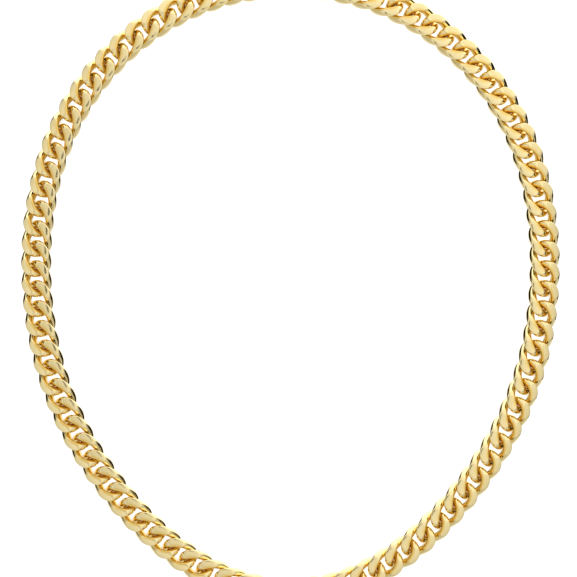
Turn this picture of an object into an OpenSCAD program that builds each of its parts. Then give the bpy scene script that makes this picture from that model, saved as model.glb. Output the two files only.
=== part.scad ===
// Curb chain necklace laid in a closed egg-shaped loop, with a box clasp at the top.
// +X is to the wearer's left, +Y towards the clasp and +Z up from the table.
// The origin is the middle of the neck opening, on the table.

/* [Links] */
// distance between neighbouring link centres
pitch = 5.232; // [5.228:0.001:5.236]
// half the length of a link, measured to the middle of its wire
link_half_length = 3.8; // [3.78:0.01:3.84]
// half the width of a link, measured to the middle of its wire
link_half_width = 2.88; // [2.85:0.01:2.92]
// radius of the round wire before the faces are flattened
wire_radius = 1.15; // [1.1:0.01:1.16]
// how far the wire rises above and falls below the middle as it twists
twist_rise = 1.5; // [1.45:0.01:1.55]
// half the thickness of the chain between the middles of its two domed faces
half_thickness = 2.05; // [1.95:0.01:2.1]
// radius of the dome across the width of each face
dome_radius = 12; // [10:0.5:20]
// angle by which each link leans outwards, so that its inner edge is raised
lean = 14; // [0:1:20]
// pairs of links on each side, between the three bottom links and the clasp
pairs_per_side = 20; // [20:1:20]

/* [Outline of the loop] */
// mean radius of the loop
mean_radius = 72.2; // [70:0.1:74]
// how much taller than wide the loop is
oval = 6.15; // [4:0.05:8]
// how much further the clasp is from the middle than the bottom is
egg = 2; // [0:0.1:4]
// how much the upper sides are drawn in
upper_taper = 1.12; // [0:0.02:2]
// how much the four shoulders are drawn in
shoulder_taper = 0.35; // [0:0.05:1]
// how far the lower shoulders stand out
lower_fullness = 0.33; // [0:0.03:1]
// small flattening of the two ends
end_flattening = 0.15; // [0:0.05:0.5]
// how far the bottom of the loop is drawn out
bottom_drop = 1.8; // [1.5:0.1:2]
// how narrow the drawn-out bottom is
bottom_sharpness = 12.8; // [12:0.1:14]

/* [Clasp] */
// half the length of the closed clasp without its end links
clasp_half_length = 7.3; // [7.1:0.1:7.5]
// width of the clasp
clasp_width = 7.6; // [7:0.1:8]
// thickness of the clasp
clasp_thickness = 3.8; // [3.8:0.1:4]
// chamfer along the clasp's long edges
clasp_chamfer = 0.7; // [0.5:0.1:0.8]
// length of the plate that closes the box
box_end_length = 1.9; // [1.6:0.1:2.2]
// length of the plate that carries the tongue
tongue_plate_length = 2.7; // [2.4:0.1:2.8]
// gap between the box and the tongue plate
clasp_gap = 0.2; // [0.1:0.05:0.3]
// width of the space inside the box
cavity_width = 6; // [5.6:0.1:6.2]
// height of the space inside the box
cavity_height = 2.5; // [2.4:0.1:2.6]
// height of the clasp's middle above the links' middle, which keeps its edge off the table
clasp_lift = 0.25; // [0.25:0.05:0.35]
// slope of the spring leaf at rest
leaf_slope = 10.5; // [10:0.1:10.8]
// radius of the safety latch's two loops, to the middle of the wire
latch_loop_radius = 0.9; // [0.85:0.01:0.95]
// radius of the safety latch's wire
latch_wire_radius = 0.25; // [0.2:0.01:0.27]

/* [Hidden] */
rings = 16;
sides = 8;
end_link_rings = 14;
end_link_reach = 152;
loop_steps = 720;
$fn = 48;
gold = [0.93, 0.76, 0.42];
steel = [0.78, 0.74, 0.62];
first_pair_link = 2;
end_link_number = 2 * pairs_per_side + 2;
box_mouth = -clasp_half_length + tongue_plate_length + clasp_gap;
box_end = clasp_half_length - box_end_length;
latch_axis_x = box_mouth + 1.1;
latch_axis_y = -clasp_width / 2 - 0.7;
latch_mid_z = 0.6;
latch_spacing = 1.5;
stud_x = latch_axis_x - latch_loop_radius - latch_spacing + 0.02;
curl_x = 3.5;
curl_z = -0.33;
curl_radius = 0.35;
leaf_length = 6.85;
leaf_thickness = 0.4;

function bottom_bulge(t) = bottom_drop * exp(-bottom_sharpness * (1 + sin(t)));

// The loop's outline, as a distance from the middle in the direction t (degrees).
function outline(t) = mean_radius - oval * cos(2 * t) + egg * sin(t)
    + upper_taper * sin(3 * t) + shoulder_taper * cos(4 * t)
    - lower_fullness * sin(5 * t) - end_flattening * cos(6 * t) + bottom_bulge(t);
function outline_slope(t) = 2 * oval * sin(2 * t) + egg * cos(t)
    + 3 * upper_taper * cos(3 * t) - 4 * shoulder_taper * sin(4 * t)
    - 5 * lower_fullness * cos(5 * t) + 6 * end_flattening * sin(6 * t)
    - bottom_sharpness * cos(t) * bottom_bulge(t);
function outline_point(t) = outline(t) * [cos(t), sin(t)];

// Length along the loop from the bottom, against the direction at each step.
function direction(i) = -90 + i * 360 / loop_steps;
function step_length(i) = norm(outline_point(direction(i + 1)) - outline_point(direction(i)));
lengths = [for (i = 0, s = 0; i <= loop_steps; s = s + step_length(i), i = i + 1) [s, direction(i)]];
loop_length = lengths[loop_steps][0];

function wrapped(s) = s < 0 ? s + loop_length : s;
function direction_at(s) = lookup(wrapped(s), lengths);
function travel(t) = outline_slope(t) * [cos(t), sin(t)] + outline(t) * [-sin(t), cos(t)];
function unit(v) = v / norm(v);

// A link's wire: its middle line, the line's direction, and one ring of points round it.
function wire_middle(t) = [
    link_half_length * cos(t), link_half_width * sin(t), -twist_rise * sin(2 * t)];
function wire_direction(t) = unit([
    -link_half_length * sin(t), link_half_width * cos(t), -2 * twist_rise * cos(2 * t)]);
function wire_side(t) = unit(cross(wire_direction(t), [0, 0, 1]));
function wire_up(t) = cross(wire_side(t), wire_direction(t));

// Height of the domed faces at a distance y from the chain's middle line.
function face_height(y) = half_thickness - y * y / (2 * dome_radius);

// Angle up the wire's round side at which a flattened face begins, at most 45 degrees.
function face_angle(room, t) = asin(min(sin(45), room / (wire_radius * wire_up(t).z)));
function ring_angles(t) =
    let (middle = wire_middle(t),
         top = face_angle(face_height(middle.y) - middle.z, t),
         foot = face_angle(face_height(middle.y) + middle.z, t))
    [0, top, 90, 180 - top, 180, 180 + foot, 270, 360 - foot];
function flattened(q) = [q.x, q.y, max(-face_height(q.y), min(face_height(q.y), q.z))];
function wire_point(t, a) = flattened(
    wire_middle(t) + wire_radius * (cos(a) * wire_side(t) + sin(a) * wire_up(t)));
function ring(t) = [for (a = ring_angles(t)) wire_point(t, a)];

// The height at which the links' lowest points rest on the table.
ride_height = -min([for (t = [0:2:358], q = ring(t)) q.y * sin(lean) + q.z * cos(lean)]);

// Places its children at a length s along the loop, with x along the chain and z out of its face.
module at_chain(s) {
    t = direction_at(s);
    along = unit(travel(t));
    middle = outline_point(t);
    multmatrix([
        [along.x, -along.y * cos(lean), along.y * sin(lean), middle.x],
        [along.y, along.x * cos(lean), -along.x * sin(lean), middle.y],
        [0, sin(lean), cos(lean), ride_height],
        [0, 0, 0, 1]])
        children();
}

// Two triangles between corner j of ring i and the corners next to it on ring i and ring next.
function patch(i, next, j) =
    let (up = (j + 1) % sides, a = i * sides, b = next * sides)
    [[a + j, a + up, b + j], [a + up, b + up, b + j]];

module link() {
    polyhedron(
        points = [for (i = [0:rings - 1], q = ring(i * 360 / rings)) q],
        faces = [for (i = [0:rings - 1], j = [0:sides - 1], f = patch(i, (i + 1) % rings, j)) f]);
}

// A link that ends in a plate of the clasp. Its closed end points along -x, or along x if turned.
module end_link(turned) {
    start = (turned ? 0 : 180) - end_link_reach;
    step = 2 * end_link_reach / end_link_rings;
    polyhedron(
        points = [for (i = [0:end_link_rings], q = ring(start + i * step)) q],
        faces = concat(
            [for (i = [0:end_link_rings - 1], j = [0:sides - 1], f = patch(i, i + 1, j)) f],
            [[for (j = [sides - 1:-1:0]) j]],
            [[for (j = [0:sides - 1]) end_link_rings * sides + j]]));
}

module bottom_links() {
    color(gold) for (k = [-1:1]) at_chain(k * pitch) link();
}

// side is 1 for the right of the loop and -1 for the left; pair counts up from the bottom.
module link_pair(side, pair) {
    color(gold) for (k = [0:1]) at_chain(side * (first_pair_link * pair + k) * pitch) link();
}

module in_clasp() {
    at_chain(loop_length / 2) translate([0, 0, clasp_lift]) children();
}

// A bar along x with chamfered long edges.
module clasp_bar(from, to) {
    w = clasp_width / 2;
    h = clasp_thickness / 2;
    c = clasp_chamfer;
    translate([from, 0, 0]) rotate([90, 0, 90]) linear_extrude(height = to - from)
        polygon([[-w, c - h], [c - w, -h], [w - c, -h], [w, c - h],
                 [w, h - c], [w - c, h], [c - w, h], [-w, h - c]]);
}

module clasp_box() {
    lip_drop = 0.3;
    lip_length = 0.6;
    notch_width = 2.4;
    notch_length = 2.7;
    color(gold) in_clasp() difference() {
        union() {
            difference() {
                clasp_bar(box_mouth, box_end);
                translate([box_mouth - 1, -cavity_width / 2, -cavity_height / 2])
                    cube([box_end - box_mouth + 2, cavity_width, cavity_height]);
            }
            translate([box_mouth, -cavity_width / 2 - 0.1, cavity_height / 2 - lip_drop])
                cube([lip_length, cavity_width + 0.2, lip_drop + 0.1]);
        }
        translate([box_mouth - 1, -notch_width / 2, 0])
            cube([notch_length + 1, notch_width, clasp_thickness]);
    }
}

module box_end_plate() {
    color(gold) in_clasp() clasp_bar(box_end, clasp_half_length);
}

module box_end_link() {
    color(gold) at_chain(-end_link_number * pitch) end_link(true);
}

module tongue_plate() {
    color(gold) in_clasp()
        clasp_bar(-clasp_half_length, -clasp_half_length + tongue_plate_length);
}

module tongue_leaf() {
    leaf_width = 5.4;
    from = -clasp_half_length + tongue_plate_length;
    color(steel) in_clasp() translate([from, -leaf_width / 2, -1.15])
        cube([curl_x + 0.4 - from, leaf_width, 0.45]);
}

// Draws its children in the frame of the spring leaf: x runs back from the curl to the free end.
module on_leaf() {
    in_clasp() translate([curl_x, 0, curl_z]) rotate([0, leaf_slope, 0]) children();
}

module tongue_spring() {
    leaf_width = 5;
    color(steel) on_leaf() {
        rotate([90, 0, 0]) cylinder(r = curl_radius, h = leaf_width, center = true);
        translate([-leaf_length, -leaf_width / 2, -leaf_thickness / 2])
            cube([leaf_length, leaf_width, leaf_thickness]);
    }
}

module release_button() {
    post_length = 1.1;
    post_width = 2;
    post_height = 1.3;
    middle = leaf_length - 0.3;
    color(gold) on_leaf() translate([-middle, 0, leaf_thickness / 2]) {
        translate([-post_length / 2, -post_width / 2, 0])
            cube([post_length, post_width, post_height]);
        translate([0, 0, post_height]) rotate([90, 0, 0])
            cylinder(r = post_length / 2, h = post_width, center = true);
    }
}

module tongue_end_link() {
    color(gold) at_chain(end_link_number * pitch) end_link(false);
}

// Draws its children at the safety latch's axis, which runs along z.
module at_latch() {
    in_clasp() translate([latch_axis_x, latch_axis_y, latch_mid_z]) children();
}

module safety_latch() {
    color(gold) at_latch()
        for (x = [-latch_loop_radius, -latch_loop_radius - latch_spacing])
            translate([x, 0, 0]) rotate([90, 0, 0]) rotate_extrude()
                translate([latch_loop_radius, 0]) circle(r = latch_wire_radius);
}

module latch_hinge_tube() {
    tube_radius = 0.6;
    bore_radius = 0.4;
    tube_length = 0.8;
    foot_width = 0.8;
    color(gold) at_latch() difference() {
        union() {
            cylinder(r = tube_radius, h = tube_length, center = true);
            translate([-foot_width / 2, 0, -tube_length / 2])
                cube([foot_width, 0.7, tube_length]);
        }
        cylinder(r = bore_radius, h = tube_length + 1, center = true);
    }
}

module latch_stud() {
    post_radius = 0.2;
    ball_radius = 0.3;
    reach = 1.15;
    color(gold) in_clasp() translate([stud_x, -clasp_width / 2, latch_mid_z]) {
        rotate([90, 0, 0]) cylinder(r = post_radius, h = reach);
        translate([0, -reach, 0]) sphere(r = ball_radius);
    }
}

function two_digits(i) = str(i < 10 ? "0" : "", i);
function pair_name(side, pair) = str(side > 0 ? "right" : "left", "_links_", two_digits(pair));

bottom_links();
for (side = [1, -1], pair = [1:pairs_per_side])
    link_pair(side, pair);
clasp_box();
box_end_plate();
box_end_link();
tongue_plate();
tongue_leaf();
tongue_spring();
release_button();
tongue_end_link();
safety_latch();
latch_hinge_tube();
latch_stud();
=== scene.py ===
"""A gold curb chain necklace with a box clasp, laid in an egg-shaped loop over a pale floor.

Lengths are millimetres in the design formulas and metres in Blender. The links follow the same
formulas as the CAD model: a round wire bent into a twisted oval, then pressed to a shallow dome
on both faces. The clasp's pieces are the CAD shapes with their edges rounded over.
"""

import math

import bmesh
import bpy
import numpy as np
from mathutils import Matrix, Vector


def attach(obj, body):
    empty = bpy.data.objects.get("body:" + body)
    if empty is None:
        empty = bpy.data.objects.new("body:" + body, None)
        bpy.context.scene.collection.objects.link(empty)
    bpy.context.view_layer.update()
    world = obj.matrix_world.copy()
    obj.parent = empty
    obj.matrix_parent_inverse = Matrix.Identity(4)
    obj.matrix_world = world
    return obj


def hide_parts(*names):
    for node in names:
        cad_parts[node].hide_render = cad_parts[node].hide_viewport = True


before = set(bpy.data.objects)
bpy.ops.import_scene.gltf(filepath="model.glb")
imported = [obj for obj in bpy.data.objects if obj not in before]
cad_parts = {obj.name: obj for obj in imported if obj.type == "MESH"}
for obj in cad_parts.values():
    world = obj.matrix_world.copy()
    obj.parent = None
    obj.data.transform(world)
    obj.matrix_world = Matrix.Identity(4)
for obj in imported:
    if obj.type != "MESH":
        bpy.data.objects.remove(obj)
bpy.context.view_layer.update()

MM = 0.001

# Links and how they lie
PITCH = 5.232
LINK_HALF_LENGTH = 3.8
LINK_HALF_WIDTH = 2.88
WIRE_RADIUS = 1.15
TWIST_RISE = 1.5
HALF_THICKNESS = 2.05
DOME_RADIUS = 12
LEAN = math.radians(14)
PAIRS_PER_SIDE = 20
END_LINK_NUMBER = 2 * PAIRS_PER_SIDE + 2
END_LINK_REACH = math.radians(152)

# Outline of the loop: a circle's radius, the waves added to it and a drop at the bottom
MEAN_RADIUS = 72.2
OVAL = 6.15
EGG = 2
UPPER_TAPER = 1.12
SHOULDER_TAPER = 0.35
LOWER_FULLNESS = 0.33
END_FLATTENING = 0.15
BOTTOM_DROP = 1.8
BOTTOM_SHARPNESS = 12.8
LOOP_STEPS = 720

# Fineness of the visible links
RINGS = 72
SIDE_STEPS = 9
FACE_STEPS = 6
FACE_LIMIT = math.radians(70)
EDGE_SOFTNESS = 0.06

# Fineness of the clasp's rounded edges
SAME_PLACE = 1e-7
FLAT_WITHIN = math.radians(1)
SHARP_ABOVE = math.radians(25)
BEVEL_STEPS = 3
CLASP_SOFTNESS = 0.08
SPRING_SOFTNESS = 0.05

# Colours, linear. Each metal drifts between two of them. On the inner side of the links' wire its
# colour carries a painted shade, deeper and more orange, where the links shade each other.
GOLD = [(0.93, 0.765, 0.37), (0.96, 0.795, 0.425)]
GOLD_PAINTED_SHADE = (0.86, 0.58, 0.14)
STEEL = [(0.60, 0.57, 0.50), (0.70, 0.67, 0.58)]
STEEL_PAINTED_SHADE = (0.50, 0.47, 0.40)

# Sizes of the drift and of the polishing marks, as noise scales
DRIFT_SCALE = 350
POLISH_SCALE = 2500
NOISE_LOW = 0.3
NOISE_HIGH = 0.7
POLISH_DEPTH = 0.00002

# How far round the wire its inner side begins and is whole, where the colour takes the painted
# shade and the metal is duller, and how much duller it is
INSIDE_BEGINS = 0.5
INSIDE_WHOLE = 0.95
INSIDE_DULLNESS = 0.24


# ---------------------------------------------------------------- the loop


def outline(t):
    """Distance from the middle of the loop to the chain, in the direction t."""
    return (
        MEAN_RADIUS
        - OVAL * np.cos(2 * t)
        + EGG * np.sin(t)
        + UPPER_TAPER * np.sin(3 * t)
        + SHOULDER_TAPER * np.cos(4 * t)
        - LOWER_FULLNESS * np.sin(5 * t)
        - END_FLATTENING * np.cos(6 * t)
        + BOTTOM_DROP * np.exp(-BOTTOM_SHARPNESS * (1 + np.sin(t)))
    )


def outline_point(t):
    return (outline(t) * np.array([np.cos(t), np.sin(t)])).T


def outline_direction(t):
    step = 1e-4  # radians
    along = outline_point(t + step) - outline_point(t - step)
    return along / np.linalg.norm(along)


directions = np.radians(-90 + np.arange(LOOP_STEPS + 1) * 360 / LOOP_STEPS)
chords = np.linalg.norm(np.diff(outline_point(directions), axis=0), axis=1)
lengths = np.concatenate([[0], np.cumsum(chords)])
LOOP_LENGTH = lengths[-1]


# ---------------------------------------------------------------- the wire of a link


def unit(v):
    return v / np.linalg.norm(v, axis=-1, keepdims=True)


def wire_frame(t):
    """The wire's middle line at t, with the directions to its side and up its round."""
    middle = np.stack(
        [
            LINK_HALF_LENGTH * np.cos(t),
            LINK_HALF_WIDTH * np.sin(t),
            -TWIST_RISE * np.sin(2 * t),
        ],
        axis=-1,
    )
    along = unit(
        np.stack(
            [
                -LINK_HALF_LENGTH * np.sin(t),
                LINK_HALF_WIDTH * np.cos(t),
                -2 * TWIST_RISE * np.cos(2 * t),
            ],
            axis=-1,
        )
    )
    side = unit(np.cross(along, [0, 0, 1]))
    return middle, side, np.cross(side, along)


def face_height(y):
    """Height of the domed faces at a distance y from the chain's middle line."""
    return HALF_THICKNESS - y**2 / (2 * DOME_RADIUS)


def soft_limit(z, face):
    """z held between the two faces, with a small round where a face meets the wire's side."""
    k = 4 * EDGE_SOFTNESS**2
    z = ((z + face) - np.sqrt((z - face) ** 2 + k)) / 2
    return ((z - face) + np.sqrt((z + face) ** 2 + k)) / 2


def face_angle(room, up):
    """How far up the wire's round side a flattened face begins."""
    reach = room / (WIRE_RADIUS * up)
    return np.arcsin(np.minimum(math.sin(FACE_LIMIT), reach))


def eased(steps):
    """Fractions from 0 up to 1, closer together at both ends, without the last."""
    return (1 - np.cos(np.pi * np.arange(steps) / steps)) / 2


def rings(t):
    """Rings of points round the wire at each t, closest together along the faces' edges."""
    middle, side, up = wire_frame(t)
    face = face_height(middle[:, 1])
    top = face_angle(face - middle[:, 2], up[:, 2])
    foot = face_angle(face + middle[:, 2], up[:, 2])
    corners = [-foot, top, np.pi - top, np.pi + foot, 2 * np.pi - foot]
    steps = [SIDE_STEPS, FACE_STEPS, SIDE_STEPS, FACE_STEPS]
    angles = np.concatenate(
        [
            a[:, None] + (b - a)[:, None] * eased(n)
            for a, b, n in zip(corners, corners[1:], steps)
        ],
        axis=1,
    )[..., None]
    points = middle[:, None] + WIRE_RADIUS * (
        np.cos(angles) * side[:, None] + np.sin(angles) * up[:, None]
    )
    points[..., 2] = soft_limit(points[..., 2], face_height(points[..., 1]))
    return points, (1 - np.cos(angles[..., 0])) / 2


def tube(points, inwardness, closed):
    """A tube through rings of points, with its ends capped if it is open."""
    count, sides = points.shape[:2]
    spans = count if closed else count - 1
    faces = [
        (
            i * sides + j,
            i * sides + (j + 1) % sides,
            (i + 1) % count * sides + (j + 1) % sides,
            (i + 1) % count * sides + j,
        )
        for i in range(spans)
        for j in range(sides)
    ]
    if not closed:
        last = (count - 1) * sides
        faces.append(tuple(reversed(range(sides))))
        faces.append(tuple(range(last, last + sides)))
    return points.reshape(-1, 3), inwardness.ravel(), faces


def placed(points, s):
    """Points of a link moved to the length s along the loop from its bottom."""
    t = np.interp(s % LOOP_LENGTH, lengths, directions)
    along = outline_direction(t)
    centre = outline_point(t)
    turn = np.array(
        [
            [along[0], -along[1] * math.cos(LEAN), along[1] * math.sin(LEAN)],
            [along[1], along[0] * math.cos(LEAN), -along[0] * math.sin(LEAN)],
            [0, math.sin(LEAN), math.cos(LEAN)],
        ]
    )
    return points @ turn.T + [centre[0], centre[1], RIDE_HEIGHT]


def joined(parts):
    """Several tubes as one."""
    faces, count = [], 0
    for points, _, sides in parts:
        faces += [tuple(count + v for v in f) for f in sides]
        count += len(points)
    return np.concatenate([p[0] for p in parts]), np.concatenate([p[1] for p in parts]), faces


link_rings, link_inwardness = rings(np.arange(RINGS) * 2 * np.pi / RINGS)
heights = link_rings[..., 1] * math.sin(LEAN) + link_rings[..., 2] * math.cos(LEAN)
RIDE_HEIGHT = -heights.min()


# ---------------------------------------------------------------- materials


def material(name, roughness, colours, painted_shade, grain):
    """A polished metal. Its colour and gloss drift a little. On the links' inner side it is duller,
    and its colour carries a painted shade, deeper where the links shade each other.
    """
    mat = bpy.data.materials.new(name)
    mat.use_nodes = True
    nodes, links = mat.node_tree.nodes, mat.node_tree.links
    shader = nodes["Principled BSDF"]
    shader.inputs["Metallic"].default_value = 1

    where = nodes.new("ShaderNodeTexCoord")
    cloud = nodes.new("ShaderNodeTexNoise")
    cloud.inputs["Scale"].default_value = DRIFT_SCALE
    cloud.inputs["Detail"].default_value = 2
    links.new(where.outputs["Object"], cloud.inputs["Vector"])
    tint = nodes.new("ShaderNodeValToRGB")
    tint.color_ramp.elements[0].position = NOISE_LOW
    tint.color_ramp.elements[1].position = NOISE_HIGH
    for stop, colour in zip(tint.color_ramp.elements, colours):
        stop.color = (*colour, 1)
    links.new(cloud.outputs["Fac"], tint.inputs["Fac"])
    inward = nodes.new("ShaderNodeAttribute")
    inward.attribute_name = "inwardness"
    # The wire's inner side: its colour takes the painted shade there, and its gloss is duller.
    inner_shade_and_dullness = nodes.new("ShaderNodeMapRange")
    inner_shade_and_dullness.interpolation_type = "SMOOTHSTEP"
    inner_shade_and_dullness.inputs["From Min"].default_value = INSIDE_BEGINS
    inner_shade_and_dullness.inputs["From Max"].default_value = INSIDE_WHOLE
    links.new(inward.outputs["Fac"], inner_shade_and_dullness.inputs["Value"])
    # Painted shade: a deeper, more orange colour on the wire's inner side, where the links shade
    # each other.
    painted_shade_tint = nodes.new("ShaderNodeMix")
    painted_shade_tint.data_type = "RGBA"
    painted_shade_tint.inputs["B"].default_value = (*painted_shade, 1)
    links.new(inner_shade_and_dullness.outputs["Result"], painted_shade_tint.inputs["Factor"])
    links.new(tint.outputs["Color"], painted_shade_tint.inputs["A"])
    links.new(painted_shade_tint.outputs["Result"], shader.inputs["Base Color"])

    fine = nodes.new("ShaderNodeTexNoise")
    fine.inputs["Scale"].default_value = POLISH_SCALE
    fine.inputs["Detail"].default_value = 3
    links.new(where.outputs["Object"], fine.inputs["Vector"])
    gloss = nodes.new("ShaderNodeMapRange")
    gloss.inputs["From Min"].default_value = NOISE_LOW
    gloss.inputs["From Max"].default_value = NOISE_HIGH
    gloss.inputs["To Min"].default_value = roughness[0]
    gloss.inputs["To Max"].default_value = roughness[1]
    links.new(fine.outputs["Fac"], gloss.inputs["Value"])
    dulled = nodes.new("ShaderNodeMath")
    dulled.operation = "MULTIPLY_ADD"
    dulled.inputs[1].default_value = INSIDE_DULLNESS
    links.new(inner_shade_and_dullness.outputs["Result"], dulled.inputs[0])
    links.new(gloss.outputs["Result"], dulled.inputs[2])
    links.new(dulled.outputs["Value"], shader.inputs["Roughness"])

    bump = nodes.new("ShaderNodeBump")
    bump.inputs["Strength"].default_value = grain
    bump.inputs["Distance"].default_value = POLISH_DEPTH
    links.new(fine.outputs["Fac"], bump.inputs["Height"])
    links.new(bump.outputs["Normal"], shader.inputs["Normal"])
    return mat


gold = material(
    "polished_gold", roughness=(0.06, 0.13), colours=GOLD, painted_shade=GOLD_PAINTED_SHADE, grain=0.12
)
steel = material(
    "spring_steel", roughness=(0.22, 0.34), colours=STEEL, painted_shade=STEEL_PAINTED_SHADE, grain=0.6
)


# ---------------------------------------------------------------- pieces


def shown(name, mesh, body, nodes):
    """A piece of the visual model that rides on a body and takes the place of CAD nodes."""
    piece = bpy.data.objects.new(name, mesh)
    bpy.context.scene.collection.objects.link(piece)
    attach(piece, body)
    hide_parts(*nodes)
    return piece


def add_piece(name, body, nodes, shape, mat):
    """A piece made of tubes, which keeps how far inward each of its points faces."""
    points, inwardness, faces = shape
    mesh = bpy.data.meshes.new(name)
    mesh.from_pydata((points * MM).tolist(), [], faces)
    mesh.shade_smooth()
    mesh.attributes.new("inwardness", "FLOAT", "POINT").data.foreach_set("value", inwardness)
    mesh.materials.append(mat)
    return shown(name, mesh, body, nodes)


def links_at(*numbers):
    """The links with these numbers, counted from 0 at the bottom, right-hand side positive."""
    return joined([tube(placed(link_rings, k * PITCH), link_inwardness, True) for k in numbers])


add_piece("bottom_curb", "bottom", ["bottom_links"], links_at(-1, 0, 1), gold)
for sign, side in ((1, "right"), (-1, "left")):
    for pair in range(1, PAIRS_PER_SIDE + 1):
        add_piece(
            f"{side}_curb_{pair:02d}",
            f"{side}_{pair:02d}",
            [f"{side}_links_{pair:02d}"],
            links_at(sign * 2 * pair, sign * (2 * pair + 1)),
            gold,
        )


def end_link(number, turned):
    """A link beside the clasp. Its wire is open at the end that the clasp's plate covers."""
    start = (0 if turned else math.pi) - END_LINK_REACH
    t = start + np.linspace(0, 2 * END_LINK_REACH, RINGS)
    points, inwardness = rings(t)
    return tube(placed(points, number * PITCH), inwardness, False)


add_piece("box_end_curb", "box", ["box_end_link"], end_link(-END_LINK_NUMBER, True), gold)
add_piece(
    "tongue_end_curb", "tongue", ["tongue_end_link"], end_link(END_LINK_NUMBER, False), gold
)


def refined(node, body, mat, softness):
    """The CAD node's shape with its sharp edges rounded over."""
    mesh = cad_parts[node].data.copy()
    mesh.name = node + "_finished"
    shape = bmesh.new()
    shape.from_mesh(mesh)
    bmesh.ops.remove_doubles(shape, verts=shape.verts, dist=SAME_PLACE)
    bmesh.ops.dissolve_limit(shape, angle_limit=FLAT_WITHIN, verts=shape.verts, edges=shape.edges)
    sharp = [e for e in shape.edges if e.calc_face_angle(0) > SHARP_ABOVE]
    bmesh.ops.bevel(
        shape,
        geom=sharp,
        offset=softness * MM,
        segments=BEVEL_STEPS,
        profile=0.5,
        affect="EDGES",
        clamp_overlap=True,
    )
    shape.to_mesh(mesh)
    shape.free()
    mesh.shade_smooth()
    mesh.materials.clear()
    mesh.materials.append(mat)
    return shown(mesh.name, mesh, body, [node])


for node, body in (
    ("clasp_box", "box"),
    ("box_end_plate", "box"),
    ("tongue_plate", "tongue"),
    ("release_button", "spring_leaf"),
    ("safety_latch", "safety_latch"),
    ("latch_hinge_tube", "box"),
    ("latch_stud", "tongue"),
):
    refined(node, body, gold, CLASP_SOFTNESS)
for node, body in (("tongue_leaf", "tongue"), ("tongue_spring", "spring_leaf")):
    refined(node, body, steel, SPRING_SOFTNESS)


# ---------------------------------------------------------------- stage

FLOOR_SIZE = 3.0
FLOOR_SIDES = 96
FLOOR_DEPTH = 0.018
FLOOR_GLOW = 0.96
PAPER = 0.25
SHEET_GAP = 0.00002

# The shade on the clear sheet: how near metal makes it, and how much open air ends it
SHADE_REACH = 0.0016
SHADE_OPEN = (0.05, 0.55)
SHADE_COLOUR = (0.42, 0.27, 0.09)


def stage_disc(name, height, mat):
    """A round level surface that isn't part of the object and doesn't show in the metal."""
    mesh = bpy.data.meshes.new(name)
    shape = bmesh.new()
    bmesh.ops.create_circle(shape, cap_ends=True, segments=FLOOR_SIDES, radius=FLOOR_SIZE)
    shape.to_mesh(mesh)
    shape.free()
    mesh.materials.append(mat)
    disc = bpy.data.objects.new(name, mesh)
    disc.location.z = height
    disc.visible_glossy = False
    bpy.context.scene.collection.objects.link(disc)
    return disc


# The floor lies low enough to hide no part of the necklace at any pose.
paper = bpy.data.materials.new("white_paper")
paper.use_nodes = True
paper_shader = paper.node_tree.nodes["Principled BSDF"]
paper_shader.inputs["Base Color"].default_value = (PAPER, PAPER, PAPER, 1)
paper_shader.inputs["Roughness"].default_value = 1
paper_shader.inputs["Specular IOR Level"].default_value = 0
paper_shader.inputs["Emission Color"].default_value = (1, 1, 1, 1)
paper_shader.inputs["Emission Strength"].default_value = FLOOR_GLOW
stage_disc("floor", -FLOOR_DEPTH, paper)

# The clear sheet that the necklace lies on shows only a warm shade close under the metal.
clear = bpy.data.materials.new("clear_sheet")
clear.use_nodes = True
nodes, links = clear.node_tree.nodes, clear.node_tree.links
nodes.remove(nodes["Principled BSDF"])
room = nodes.new("ShaderNodeAmbientOcclusion")
room.inputs["Distance"].default_value = SHADE_REACH
open_air = nodes.new("ShaderNodeMapRange")
open_air.interpolation_type = "SMOOTHSTEP"
open_air.inputs["From Min"].default_value = SHADE_OPEN[0]
open_air.inputs["From Max"].default_value = SHADE_OPEN[1]
links.new(room.outputs["AO"], open_air.inputs["Value"])
shade = nodes.new("ShaderNodeMix")
shade.data_type = "RGBA"
shade.inputs["A"].default_value = (*SHADE_COLOUR, 1)
shade.inputs["B"].default_value = (1, 1, 1, 1)
links.new(open_air.outputs["Result"], shade.inputs["Factor"])
through = nodes.new("ShaderNodeBsdfTransparent")
links.new(shade.outputs["Result"], through.inputs["Color"])
links.new(through.outputs["BSDF"], nodes["Material Output"].inputs["Surface"])
sheet = stage_disc("clear_sheet", -SHEET_GAP, clear)
sheet.visible_diffuse = False
sheet.visible_shadow = False


# ---------------------------------------------------------------- studio light

# Azimuths run anticlockwise from +X, in degrees. Heights are sines, from -1 below to 1 above.
STUDIO_STRENGTH = 1.04
FAR_SIDE = 72
FAR_HALF_WIDTH = 52
FAR_BLUR = 18
FAR_TENT = [(-1, 1.1), (-0.6, 1.7), (-0.35, 1.8), (0.1, 1.6), (0.3, 1.38), (0.5, 1.08), (1, 0.89)]
NEAR_TENT = [(-1, 0.95), (-0.6, 0.82), (-0.3, 0.7), (0.1, 0.53), (0.3, 0.6), (0.7, 0.86), (1, 0.84)]

# Overhead the light falls off to one side, and the lens is a small dark spot.
OVERHEAD_TILT = (0.45, 0.24, 0)
OVERHEAD_BEGINS = (0.76, 0.84)
LENS_DIRECTION = (-0.05, 0.01, 0.9987)
LENS_RADII = (math.radians(3.2), math.radians(1.8))
LENS_DARKNESS = 0.9

# Black cards: azimuth, half width, lowest and highest
CARDS = [(-7, 26, -0.7, 0.15), (153, 26, -0.72, 0.05)]
CARD_BLUR = 0.05
CARD_SIDE_BLUR = 5

# Keeps a square root from reaching zero straight up and straight down
ABOVE_ONE = 1.0001

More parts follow.
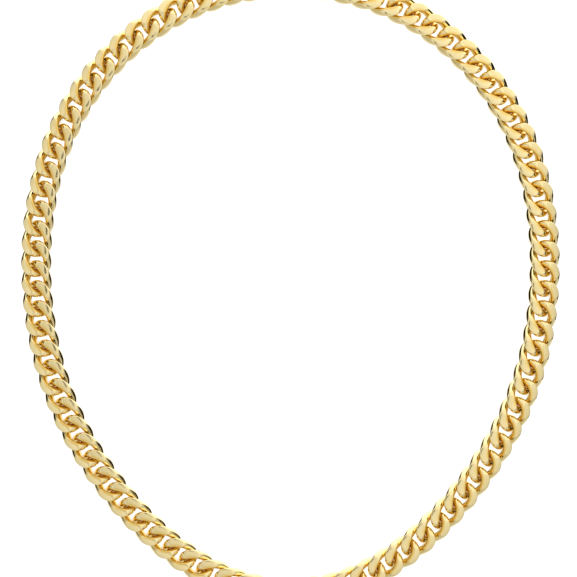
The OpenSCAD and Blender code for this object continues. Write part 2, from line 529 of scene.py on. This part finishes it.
world = bpy.data.worlds.new("studio")
world.use_nodes = True
bpy.context.scene.world = world
nodes, links = world.node_tree.nodes, world.node_tree.links
sky = nodes["Background"]
sky.inputs["Strength"].default_value = STUDIO_STRENGTH
where = nodes.new("ShaderNodeTexCoord")
axes = nodes.new("ShaderNodeSeparateXYZ")
links.new(where.outputs["Generated"], axes.inputs["Vector"])
height = nodes.new("ShaderNodeMapRange")
height.inputs["From Min"].default_value = -1
links.new(axes.outputs["Z"], height.inputs["Value"])


def node_of(kind, operation, *values):
    """A math node with the given inputs, each a number or another node's output."""
    node = nodes.new(kind)
    node.operation = operation
    for socket, value in zip(node.inputs, values):
        if isinstance(value, bpy.types.NodeSocket):
            links.new(value, socket)
        else:
            socket.default_value = value
    return node.outputs["Value"]


def tent(stops):
    """Brightness that changes with height, given as heights from -1 to 1 with their values."""
    node = nodes.new("ShaderNodeValToRGB")
    for _ in stops[len(node.color_ramp.elements) :]:
        node.color_ramp.elements.new(0.5)
    for stop, (at, value) in zip(node.color_ramp.elements, stops):
        stop.position = (at + 1) / 2
        stop.color = (value, value, value, 1)
    links.new(height.outputs["Result"], node.inputs["Fac"])
    return node.outputs["Color"]


def ramp(value, start, end):
    """From 0 at start up to 1 at end, smoothly."""
    node = nodes.new("ShaderNodeMapRange")
    node.interpolation_type = "SMOOTHSTEP"
    node.inputs["From Min"].default_value = start
    node.inputs["From Max"].default_value = end
    links.new(value, node.inputs["Value"])
    return node.outputs["Result"]


def dimmed(light, amount):
    """The light less this share of itself."""
    keep = node_of("ShaderNodeMath", "SUBTRACT", 1, amount)
    node = nodes.new("ShaderNodeMix")
    node.data_type = "RGBA"
    node.blend_type = "MULTIPLY"
    node.inputs["Factor"].default_value = 1
    links.new(light, node.inputs["A"])
    links.new(keep, node.inputs["B"])
    return node.outputs["Result"]


def facing(azimuth):
    """The cosine of the angle, seen from above, to the direction azimuth in degrees."""
    a = math.radians(azimuth)
    flat = node_of(
        "ShaderNodeMath",
        "ADD",
        node_of("ShaderNodeMath", "MULTIPLY", axes.outputs["X"], math.cos(a)),
        node_of("ShaderNodeMath", "MULTIPLY", axes.outputs["Y"], math.sin(a)),
    )
    z = axes.outputs["Z"]
    squared = node_of("ShaderNodeMath", "MULTIPLY", z, z)
    rest = node_of("ShaderNodeMath", "SUBTRACT", ABOVE_ONE, squared)
    level = node_of("ShaderNodeMath", "SQRT", rest)
    return node_of("ShaderNodeMath", "DIVIDE", flat, level)


def panel(azimuth, half_width, softness):
    """1 within half_width of the azimuth and 0 outside it."""
    edges = [math.cos(math.radians(half_width + s)) for s in (softness, -softness)]
    return ramp(facing(azimuth), *edges)


def card(azimuth, half_width, bottom, top):
    """A black card standing beside the necklace. Angles are in degrees, heights are sines."""
    z = axes.outputs["Z"]
    above = ramp(z, bottom - CARD_BLUR, bottom + CARD_BLUR)
    below = ramp(z, top + CARD_BLUR, top - CARD_BLUR)
    return node_of(
        "ShaderNodeMath",
        "MULTIPLY",
        panel(azimuth, half_width, CARD_SIDE_BLUR),
        node_of("ShaderNodeMath", "MULTIPLY", above, below),
    )


mixed = nodes.new("ShaderNodeMix")
mixed.data_type = "RGBA"
links.new(panel(FAR_SIDE, FAR_HALF_WIDTH, FAR_BLUR), mixed.inputs["Factor"])
links.new(tent(NEAR_TENT), mixed.inputs["A"])
links.new(tent(FAR_TENT), mixed.inputs["B"])
light = mixed.outputs["Result"]
direction = where.outputs["Generated"]
tilt = node_of("ShaderNodeVectorMath", "DOT_PRODUCT", direction, OVERHEAD_TILT)
overhead = ramp(axes.outputs["Z"], *OVERHEAD_BEGINS)
gain = node_of("ShaderNodeMath", "MULTIPLY", tilt, overhead)
light = dimmed(light, node_of("ShaderNodeMath", "MULTIPLY", gain, -1))
lens = node_of("ShaderNodeVectorMath", "DOT_PRODUCT", direction, LENS_DIRECTION)
lens = ramp(lens, *[math.cos(r) for r in LENS_RADII])
light = dimmed(light, node_of("ShaderNodeMath", "MULTIPLY", lens, LENS_DARKNESS))
for black_card in CARDS:
    light = dimmed(light, card(*black_card))
links.new(light, sky.inputs["Color"])

# The camera itself sees plain white behind the floor.
backdrop = nodes.new("ShaderNodeBackground")
backdrop.inputs["Color"].default_value = (1, 1, 1, 1)
path = nodes.new("ShaderNodeLightPath")
choice = nodes.new("ShaderNodeMixShader")
links.new(path.outputs["Is Camera Ray"], choice.inputs["Fac"])
links.new(sky.outputs["Background"], choice.inputs[1])
links.new(backdrop.outputs["Background"], choice.inputs[2])
links.new(choice.outputs["Shader"], nodes["World Output"].inputs["Surface"])


# ---------------------------------------------------------------- camera

VIEW_WIDTH = 0.1508
CAMERA_HEIGHT = 1.5
SENSOR = 36
CAMERA_SIDESTEP = -0.00051
NEAREST = 0.1
FARTHEST = 20
camera = bpy.data.objects.new("camera", bpy.data.cameras.new("camera"))
camera.data.sensor_width = SENSOR
camera.data.lens = SENSOR * CAMERA_HEIGHT / VIEW_WIDTH
camera.data.clip_start = NEAREST
camera.data.clip_end = FARTHEST
camera.location = Vector(
    (CAMERA_SIDESTEP, CAMERA_SIDESTEP, CAMERA_HEIGHT + RIDE_HEIGHT * MM)
)
bpy.context.scene.collection.objects.link(camera)
bpy.context.scene.camera = camera
bpy.context.scene.view_settings.view_transform = "Standard"
